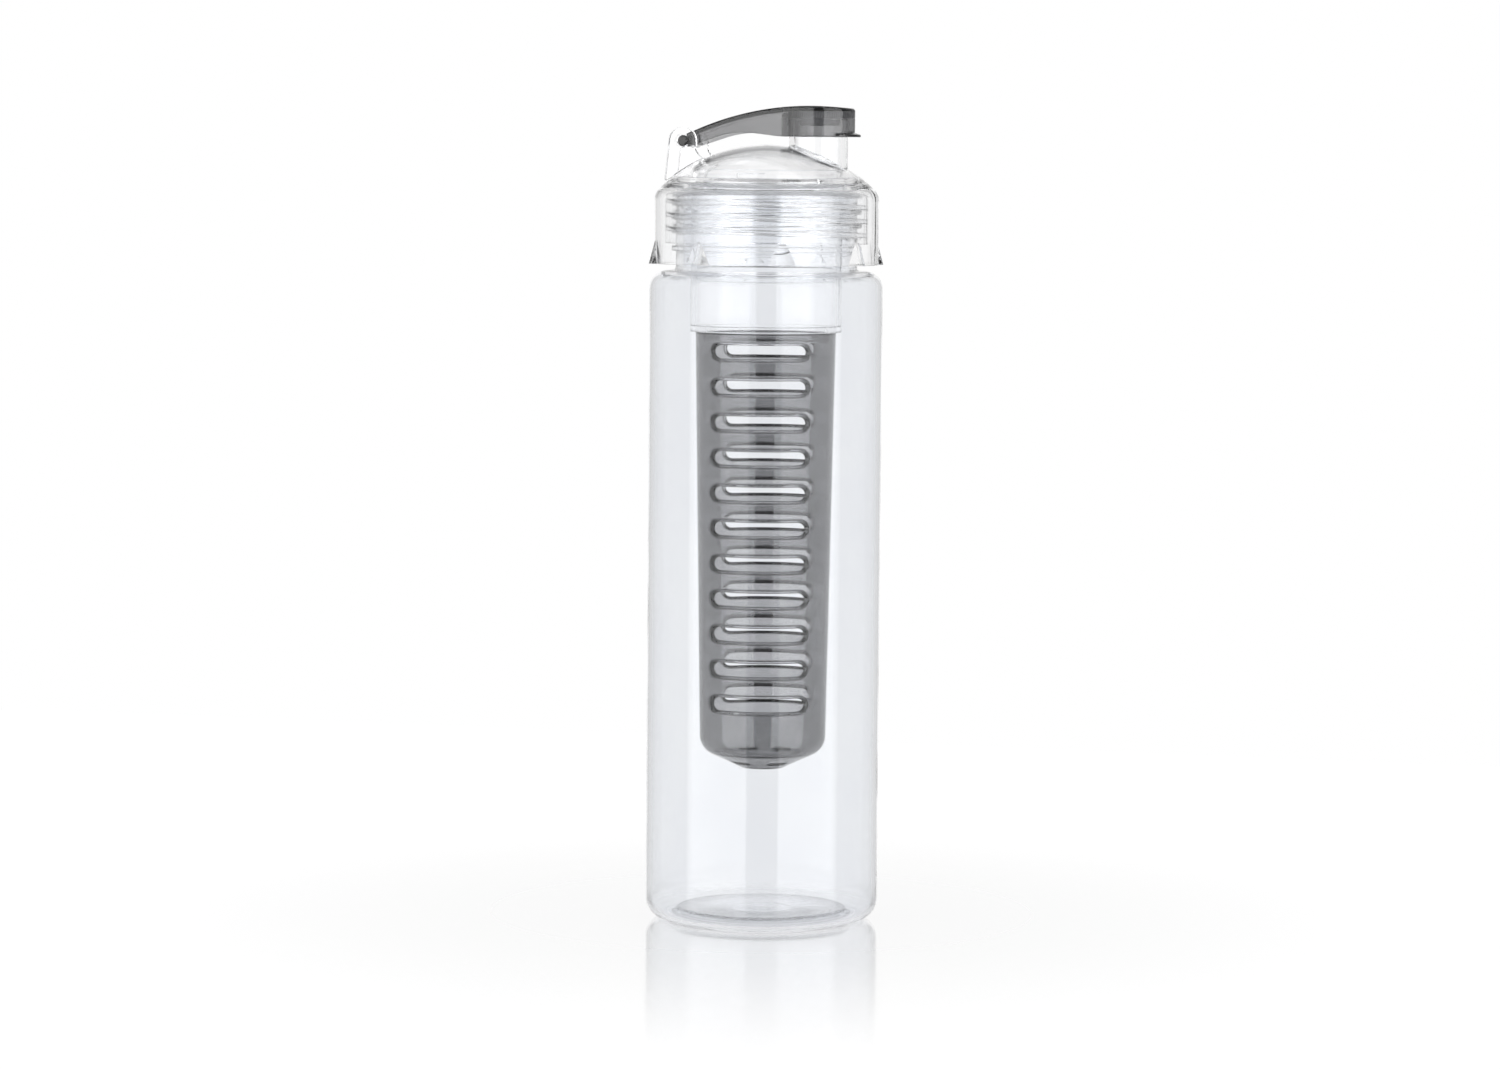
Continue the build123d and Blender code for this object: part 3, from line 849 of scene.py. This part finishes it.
def flat_face(line, depth):
    """One face of the wall round the slot: rows from the slot's edge to the next piece."""
    around = [step / SIDE_STEPS for step in range(1, SIDE_STEPS + 1)]
    for upward in (1, -1):
        rows = []
        for share in ROW_SHARES:
            level = upward * share * slot_pitch / 2
            row = [flat_point(line[0][0], turn, depth, level) for turn in reversed(around)]
            for across, height in line:
                away = height + (slot_pitch / 2 - height) * share
                row.append(flat_point(across, 0, depth, upward * away))
            row += [flat_point(line[-1][0], -turn, depth, level) for turn in around]
            rows.append(row)
        for row, further in zip(rows, rows[1:]):
            stitch(flat, row, further)


# %% One slot in a flat piece of wall
flat_face(slot_line(rim_section[0].x), 0.0)
flat_face(slot_line(rim_section[-1].x), basket_wall)
rings = []
# Each ring of the rim carries the painted shade of its place.
for point in rim_section:
    line = slot_line(point.x)
    under = [(across, -height) for across, height in reversed(line[1:-1])]
    shade = rim_painted_shade(point.x)
    rings.append([flat_point(across, 0, point.y, height, shade) for across, height in line + under])
skin(flat, rings)
slot_piece = bpy.data.meshes.new("slot_piece")
flat.to_mesh(slot_piece)
flat.free()
basket = bpy.data.objects.new("basket_shell", slot_piece)
bpy.context.scene.collection.objects.link(basket)
print(f"one slot: {len(slot_piece.polygons)} faces")

# %% [markdown]
# The tree sets eleven copies of the flat piece in a line, one slot pitch apart.
# Then it wraps them: how far a point lies across becomes an angle round the
# axis, and its height says how far the cup has narrowed there. A slot keeps its
# real length that way, and the plain wall between the two ladders takes what is
# left of the round. The back ladder is the front one turned by half a turn.

# %% Sizes of the slotted wall
WELD_DISTANCE = 0.002 * MM
basket_sizes = {
    "Rows": slot_rows,
    "Pitch": slot_pitch * MM,
    "First slot": first_slot * MM,
    "Mouth level": basket_top * MM,
    "Mouth radius": basket_mouth * MM,
    "Heel radius": basket_heel * MM,
    "Taper length": basket_taper * MM,
    "Turn": radians(ladder_turn),
}
wrap_tree, inlet, outlet, wrap_ids = new_geometry_tree("slotted_wall", basket_sizes)
print(f"basket: {2 * basket_mouth:.1f} mm across at the mouth, {2 * basket_heel:.1f} mm at the heel")

# %% Repeat the slot down the wall
first_place = vector_of(wrap_tree, Z=inlet.outputs["First slot"])
down = arithmetic(wrap_tree, "MULTIPLY", inlet.outputs["Pitch"], -1.0)
places = add_node(
    wrap_tree,
    "GeometryNodeMeshLine",
    {"mode": "OFFSET"},
    {
        "Count": inlet.outputs["Rows"],
        "Start Location": first_place,
        "Offset": vector_of(wrap_tree, Z=down),
    },
)
ladder = add_node(
    wrap_tree,
    "GeometryNodeInstanceOnPoints",
    None,
    {"Points": places.outputs[0], "Instance": inlet.outputs["Geometry"]},
)
ladder = add_node(wrap_tree, "GeometryNodeRealizeInstances", None, {"Geometry": ladder.outputs[0]})

# %% Wrap the wall into a cup
position = add_node(wrap_tree, "GeometryNodeInputPosition").outputs[0]
spot = add_node(wrap_tree, "ShaderNodeSeparateXYZ", None, {0: position}).outputs
across, round_share = point_value(wrap_tree, "across"), point_value(wrap_tree, "round")
fall = arithmetic(wrap_tree, "SUBTRACT", inlet.outputs["Mouth level"], spot["Z"])
fall = arithmetic(wrap_tree, "DIVIDE", fall, inlet.outputs["Taper length"])
taper = arithmetic(wrap_tree, "SUBTRACT", inlet.outputs["Mouth radius"], inlet.outputs["Heel radius"])
tapered = arithmetic(wrap_tree, "MULTIPLY", fall, taper)
radius = arithmetic(wrap_tree, "SUBTRACT", inlet.outputs["Mouth radius"], tapered)
radius = arithmetic(wrap_tree, "SUBTRACT", radius, spot["Y"])
swing = arithmetic(wrap_tree, "ARCSINE", arithmetic(wrap_tree, "DIVIDE", across, radius))
stay = arithmetic(wrap_tree, "SUBTRACT", 1.0, arithmetic(wrap_tree, "ABSOLUTE", round_share))
swing = arithmetic(wrap_tree, "MULTIPLY", swing, stay)
swing = arithmetic(wrap_tree, "ADD", swing, arithmetic(wrap_tree, "MULTIPLY", round_share, pi / 2))
toward_front = arithmetic(wrap_tree, "MULTIPLY", radius, -1.0)
wrapped_place = vector_of(
    wrap_tree,
    X=arithmetic(wrap_tree, "MULTIPLY", radius, arithmetic(wrap_tree, "SINE", swing)),
    Y=arithmetic(wrap_tree, "MULTIPLY", toward_front, arithmetic(wrap_tree, "COSINE", swing)),
    Z=spot["Z"],
)
front = add_node(
    wrap_tree,
    "GeometryNodeSetPosition",
    None,
    {"Geometry": ladder.outputs[0], "Position": wrapped_place},
)

# %% Weld the two ladders into one wall
back = add_node(
    wrap_tree, "GeometryNodeTransform", None, {"Geometry": front.outputs[0], "Rotation": (0, 0, pi)}
)
both = add_node(wrap_tree, "GeometryNodeJoinGeometry")
wrap_tree.links.new(front.outputs[0], both.inputs[0])
wrap_tree.links.new(back.outputs[0], both.inputs[0])
welded = add_node(
    wrap_tree,
    "GeometryNodeMergeByDistance",
    None,
    {"Geometry": both.outputs[0], "Distance": WELD_DISTANCE},
)
set_turned = add_node(
    wrap_tree,
    "GeometryNodeTransform",
    None,
    {"Geometry": welded.outputs[0], "Rotation": vector_of(wrap_tree, Z=inlet.outputs["Turn"])},
)
finish_tree(wrap_tree, outlet, set_turned.outputs[0], smoke_plastic)
basket.data = grown(basket, wrap_tree, wrap_ids, basket_sizes, "basket_shell")
print(f"slotted wall: {len(basket.data.polygons)} faces")

# %% [markdown]
# The wall ends in four open rings, two at each end. A rounded lip joins the
# upper two. Each lower ring is carried down the section of the foot, a blunt
# cone with a flat middle, and closed at the axis. All is one skin then, so the
# renderer knows what is plastic and what is air.

# %% Find the rings at the ends of the wall
NEAR_RING = 0.3
cup = bmesh.new()
cup.from_mesh(basket.data)


def wall_radius(level, depth):
    """Radius of the tapered wall at a level, a depth below its outer face."""
    return basket_mouth - (basket_mouth - basket_heel) * (basket_top - level) / basket_taper - depth


def open_ring(level, depth):
    """The ring of points of the wall's open end at a level, in order round the axis."""
    radius = wall_radius(level, depth)
    ends = {vertex for edge in cup.edges if edge.is_boundary for vertex in edge.verts}
    ring = []
    for vertex in ends:
        off = abs(hypot(vertex.co.x, vertex.co.y) / MM - radius)
        if off < NEAR_RING and abs(vertex.co.z / MM - level) < NEAR_RING:
            ring.append(vertex)
    return sorted(ring, key=lambda vertex: atan2(vertex.co.y, vertex.co.x))


wall_start = first_slot + slot_pitch / 2
wall_end = first_slot - (slot_rows - 0.5) * slot_pitch
outer_ring, inner_ring = open_ring(wall_start, 0), open_ring(wall_start, basket_wall)
print(f"wall from {wall_end:.2f} to {wall_start:.2f} mm, {len(outer_ring)} points round")


# %% Lip at the mouth
def ring_point(spoke, point):
    """A point of the section, as (radius, height), turned out along a spoke."""
    return cup.verts.new((spoke.x * point.x * MM, spoke.y * point.x * MM, point.y * MM))


lip = rounded_line(
    [
        (wall_radius(wall_start, 0), wall_start, 0), (wall_radius(basket_top, 0), basket_top, lip_bend),
        (wall_radius(basket_top, basket_wall), basket_top, lip_bend),
        (wall_radius(wall_start, basket_wall), wall_start, 0),
    ],
    0.2,
)
rings = [outer_ring]
for step, point in enumerate(lip[1:-1], 1):
    ring = []
    for outer, inner in zip(outer_ring, inner_ring):
        outward, inward = outer.co.to_2d().normalized(), inner.co.to_2d().normalized()
        ring.append(ring_point(outward.lerp(inward, step / (len(lip) - 1)).normalized(), point))
    rings.append(ring)
skin(cup, rings + [inner_ring])
print(f"lip of {len(rings)} rings")

# %% Foot
foot_flat_radius = 6.7
foot_slope = radians(25)
foot_bend = 6.1


def close_foot(ring, line):
    """Carry a ring down a line of (radius, height) and close it at the axis."""
    spokes = [vertex.co.to_2d().normalized() for vertex in ring]
    rings = [ring]
    for point in line[1:-1]:
        rings.append([ring_point(spoke, point) for spoke in spokes])
    skin(cup, rings)
    pole = cup.verts.new((0, 0, line[-1].y * MM))
    for index in range(len(ring)):
        cup.faces.new([rings[-1][index], rings[-1][(index + 1) % len(ring)], pole])


def foot_line(inset):
    """Section of the foot from the wall to the axis, moved in by a wall."""
    rise = (basket_heel - foot_flat_radius - inset) * tan(foot_slope)
    corner = basket_bottom + inset + rise
    return rounded_line(
        [
            (wall_radius(wall_end, inset), wall_end, 0),
            (wall_radius(corner, inset), corner, foot_bend - inset),
            (foot_flat_radius, basket_bottom + inset, lip_bend), (0, basket_bottom + inset, 0),
        ],
        0.6,
    )


close_foot(open_ring(wall_end, 0), foot_line(0))
close_foot(open_ring(wall_end, basket_wall), foot_line(basket_wall))
bmesh.ops.recalc_face_normals(cup, faces=cup.faces)
open_edges = sum(1 for edge in cup.edges if len(edge.link_faces) != 2)
print(f"basket before drains: {len(cup.faces)} faces, {open_edges} open edges")
print(f"basket before drains: {cup.calc_volume() / MM**3:.0f} cubic mm")
cup.to_mesh(basket.data)
cup.free()

# %% [markdown]
# Six short slots drain the foot. They lie on a slope, so here a Boolean is the
# plain way: six upright cutters take their shape out of the cup at once. The
# cutters carry a full painted rim shade, which the cut faces take over from
# them, so each drain is outlined in painted shade.

# %% Cutters for the drains
drain_count = 6
drain_place = 11.0
drain_half_straight = 2.0
drain_end_radius = 1.2
cutter_start = basket_bottom - 2
cutter_height = 14
CUTTER_SIDES = 24

drains = bmesh.new()
for index in range(drain_count):
    heading = radians(ladder_turn + 360 / drain_count * (index + 0.5))
    turn = Matrix.Rotation(heading, 4, "Z") @ Matrix.Translation((0, drain_place * MM, 0))
    outline = []
    for step in range(CUTTER_SIDES):
        angle = 2 * pi * (step + 0.5) / CUTTER_SIDES
        middle = drain_half_straight if cos(angle) > 0 else -drain_half_straight
        across = middle + drain_end_radius * cos(angle)
        outline.append(turn @ (Vector((across, drain_end_radius * sin(angle), cutter_start)) * MM))
    low = [drains.verts.new(point) for point in outline]
    high = [drains.verts.new(point + Vector((0, 0, cutter_height * MM))) for point in outline]
    drains.faces.new(low)
    drains.faces.new(high)
    stitch(drains, low, high, closed=True)
bmesh.ops.recalc_face_normals(drains, faces=drains.faces)
drain_mesh = bpy.data.meshes.new("drain_cutter")
drains.to_mesh(drain_mesh)
# Every point of the cutters carries full painted shade, which the cut faces take over.
drain_painted_shade = drain_mesh.attributes.new("rim", "FLOAT", "POINT")
drain_painted_shade.data.foreach_set("value", [1.0] * len(drain_mesh.vertices))
drains.free()
cutter = bpy.data.objects.new("drain_cutter", drain_mesh)
bpy.context.scene.collection.objects.link(cutter)
print(f"{drain_count} drains {2 * (drain_half_straight + drain_end_radius):.1f} mm long")

# %% [markdown]
# Two modifiers finish the basket, each run once and kept as a plain mesh. The
# Boolean takes out the drains. The Weighted Normal then shades the wide faces
# flat and leaves the bend to the narrow ones, so that the small faces round a
# slot don't show as dents.

# %% Cut the drains and even the shading
SHARP_FROM = radians(50)
cut = basket.modifiers.new("drains", "BOOLEAN")
cut.operation = "DIFFERENCE"
cut.solver = "MANIFOLD"
cut.object = cutter
basket.data = applied(basket, cut, "basket_shell")
bpy.data.objects.remove(cutter)
basket.data.polygons.foreach_set("use_smooth", [True] * len(basket.data.polygons))
basket.data.set_sharp_from_angle(angle=SHARP_FROM)
even = basket.modifiers.new("even_shading", "WEIGHTED_NORMAL")
even.keep_sharp = True
basket.data = applied(basket, even, "basket_shell")
basket.data.materials.clear()
basket.data.materials.append(smoke_plastic)
print(f"basket: {len(basket.data.polygons)} faces")
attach(basket, "basket")
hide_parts("infuser_basket")

# %% [markdown]
# The bottle stands on a glossy white table. The table is a plain white sheet,
# lit by the room, plus a little glow that keeps it white to the camera. Near
# the bottle a share of it is a mirror, and that share fades with distance, as
# the reflection in the photograph does. Rays that the plastic has mirrored pass
# through the table from a few centimetres out, as if it were no wider than the
# bottle, so the bands of light on the wall run down to its foot.

# %% Table
MIRROR_FADES = (0.28, 0.05)
MIRROR_GAIN = 1.7
MIRROR_PASSES = (0.04, 0.08)
HALF_TABLE = 0.45


def white_table():
    """White sheet with a reflection that fades away from the bottle."""
    material, tree, output = new_material("white_table")
    place = add_node(tree, "ShaderNodeTexCoord").outputs["Object"]
    away = add_node(tree, "ShaderNodeVectorMath", {"operation": "LENGTH"}, {0: place}).outputs["Value"]
    sheet = add_node(tree, "ShaderNodeBsdfDiffuse", None, {"Color": (0.8, 0.8, 0.8, 1)})
    glow = add_node(tree, "ShaderNodeEmission", None, {"Color": (1, 1, 1, 1), "Strength": 0.25})
    lit = add_node(tree, "ShaderNodeAddShader", None, {0: sheet.outputs[0], 1: glow.outputs[0]})
    mirror = add_node(
        tree, "ShaderNodeBsdfGlossy", None, {"Color": (0.95, 0.95, 0.95, 1), "Roughness": 0.1}
    )
    fresnel = add_node(tree, "ShaderNodeFresnel", None, {"IOR": 1.7}).outputs[0]
    nearness = ramp_between(tree, away, *MIRROR_FADES, 0.0, MIRROR_GAIN)
    share = arithmetic(tree, "MULTIPLY", fresnel, nearness)
    mix = add_node(tree, "ShaderNodeMixShader", None, {0: share, 1: lit.outputs[0], 2: mirror.outputs[0]})
    glossy_ray = add_node(tree, "ShaderNodeLightPath").outputs["Is Glossy Ray"]
    passed = arithmetic(tree, "MULTIPLY", glossy_ray, ramp_between(tree, away, *MIRROR_PASSES))
    gone = add_node(tree, "ShaderNodeBsdfTransparent")
    seen = add_node(tree, "ShaderNodeMixShader", None, {0: passed, 1: mix.outputs[0], 2: gone.outputs[0]})
    tree.links.new(seen.outputs[0], output.inputs["Surface"])
    return material


table_mesh = bpy.data.meshes.new("table")
table_corners = [(x * HALF_TABLE, y * HALF_TABLE, 0) for x, y in ((-1, -1), (1, -1), (1, 1), (-1, 1))]
table_mesh.from_pydata(table_corners, [], [(0, 1, 2, 3)])
table_mesh.materials.append(white_table())
table = bpy.data.objects.new("table", table_mesh)
bpy.context.scene.collection.objects.link(table)
print(f"table {2 * HALF_TABLE} m wide")

# %% [markdown]
# Clear plastic is drawn by what it mirrors and bends. In the studio two tall
# soft lights stand left and right of the camera, with a gap between them. White
# paper hangs behind the bottle and overhead, and the rest of the room is dim.
# The world is built by direction: one angle runs round the bottle from the
# camera's side, the other is the height.

# %% Directions in the studio
world = bpy.data.worlds.new("studio")
bpy.context.scene.world = world
world.use_nodes = True
sky = world.node_tree
sky.nodes.clear()
direction = add_node(sky, "ShaderNodeTexCoord").outputs["Generated"]
to_camera = (sin(CAMERA_AZIMUTH), -cos(CAMERA_AZIMUTH), 0)
to_right = (cos(CAMERA_AZIMUTH), sin(CAMERA_AZIMUTH), 0)
ahead = add_node(sky, "ShaderNodeVectorMath", {"operation": "DOT_PRODUCT"}, {0: direction, 1: to_camera})
across = add_node(sky, "ShaderNodeVectorMath", {"operation": "DOT_PRODUCT"}, {0: direction, 1: to_right})
height = add_node(sky, "ShaderNodeSeparateXYZ", None, {0: direction}).outputs["Z"]
round_angle = arithmetic(
    sky, "ABSOLUTE", arithmetic(sky, "ARCTAN2", across.outputs["Value"], ahead.outputs["Value"])
)
rise_angle = arithmetic(sky, "ARCSINE", height)


def seen_at(angle, start, end, low=0.0, high=1.0):
    """A smooth step on one of the two angles, from one number of degrees to another."""
    return ramp_between(sky, angle, radians(start), radians(end), low, high)


# %% Lights and paper
SOFT_BOX_LEVEL = 3.0
SOFT_BOX_ROUND = (16, 80)
SOFT_BOX_RISE = (-40, 48)
SOFT_BOX_BLUR = 1.5
BACK_PAPER = (158, 166)
CEILING_PAPER = (55, 70)


def box_light(inner, outer, low, high, soft):
    """One where a soft box is seen, between two round angles and two heights, in degrees."""
    opening = seen_at(round_angle, inner - soft, inner + soft)
    closing = seen_at(round_angle, outer + soft, outer - soft)
    bottom = seen_at(rise_angle, low - soft, low + soft)
    top = seen_at(rise_angle, high + soft, high - soft)
    upright = arithmetic(sky, "MULTIPLY", bottom, top)
    return arithmetic(sky, "MULTIPLY", arithmetic(sky, "MULTIPLY", opening, closing), upright)


soft_boxes = box_light(*SOFT_BOX_ROUND, *SOFT_BOX_RISE, SOFT_BOX_BLUR)
lights = arithmetic(sky, "MULTIPLY", soft_boxes, SOFT_BOX_LEVEL)
paper = arithmetic(
    sky, "MAXIMUM", seen_at(rise_angle, *CEILING_PAPER), seen_at(round_angle, *BACK_PAPER)
)
print(f"studio: two soft boxes, {SOFT_BOX_ROUND} degrees from the camera, {SOFT_BOX_RISE} degrees up")

# %% [markdown]
# The Light Path node tells what a ray has met. One that was mirrored sees the
# lights. One that was only bent sees the paper, the same from the front as from
# behind, or the dim sides, which draw a dark line along each edge. The camera
# and diffuse rays see a plain level of one, so the backdrop is white and
# colours keep their value.

# %% What each ray sees
ROOM_LEVEL = 0.35
SIDE_LEVEL = 0.9
SIDE_WALL = (60, 90)
FRONT_PAPER = (60, 35)


def either(test, no, yes):
    """One level where the test is nought, the other where it is one."""
    node = add_node(sky, "ShaderNodeMix", {"data_type": "FLOAT"}, {"Factor": test, "A": no, "B": yes})
    return node.outputs["Result"]


mirrored = arithmetic(sky, "MAXIMUM", arithmetic(sky, "MAXIMUM", lights, ROOM_LEVEL), paper)
side_wall = seen_at(round_angle, *SIDE_WALL, ROOM_LEVEL, SIDE_LEVEL)
mirrored_inside = arithmetic(sky, "MAXIMUM", mirrored, side_wall)
beside_paper = arithmetic(sky, "MAXIMUM", side_wall, seen_at(round_angle, *FRONT_PAPER))
only_bent = arithmetic(sky, "MAXIMUM", beside_paper, paper)
path = add_node(sky, "ShaderNodeLightPath").outputs
was_mirrored = arithmetic(sky, "GREATER_THAN", path["Glossy Depth"], 0.5)
level = either(path["Is Glossy Ray"], 1.0, mirrored)
level = either(path["Is Transmission Ray"], level, either(was_mirrored, only_bent, mirrored_inside))
level = either(path["Is Camera Ray"], level, 1.0)
background = add_node(sky, "ShaderNodeBackground", None, {"Color": (1, 1, 1, 1), "Strength": level})
add_node(sky, "ShaderNodeOutputWorld", None, {"Surface": background.outputs[0]})
print(f"studio: room at {ROOM_LEVEL}, side walls up to {SIDE_LEVEL}")

# %% [markdown]
# Cap, neck, collar and lid stand one in another, so a ray may cross more than
# a dozen clear surfaces. Each one is a bounce, and the path has to be long
# enough to come out on the far side. The picture is shown as it is, without a
# film curve, so that white paper stays white.

# %% Light paths and view
cycles = bpy.context.scene.cycles
cycles.max_bounces = 40
cycles.transmission_bounces = 40
cycles.transparent_max_bounces = 40
cycles.glossy_bounces = 12
bpy.context.scene.view_settings.view_transform = "Standard"
print(f"up to {cycles.max_bounces} bounces")
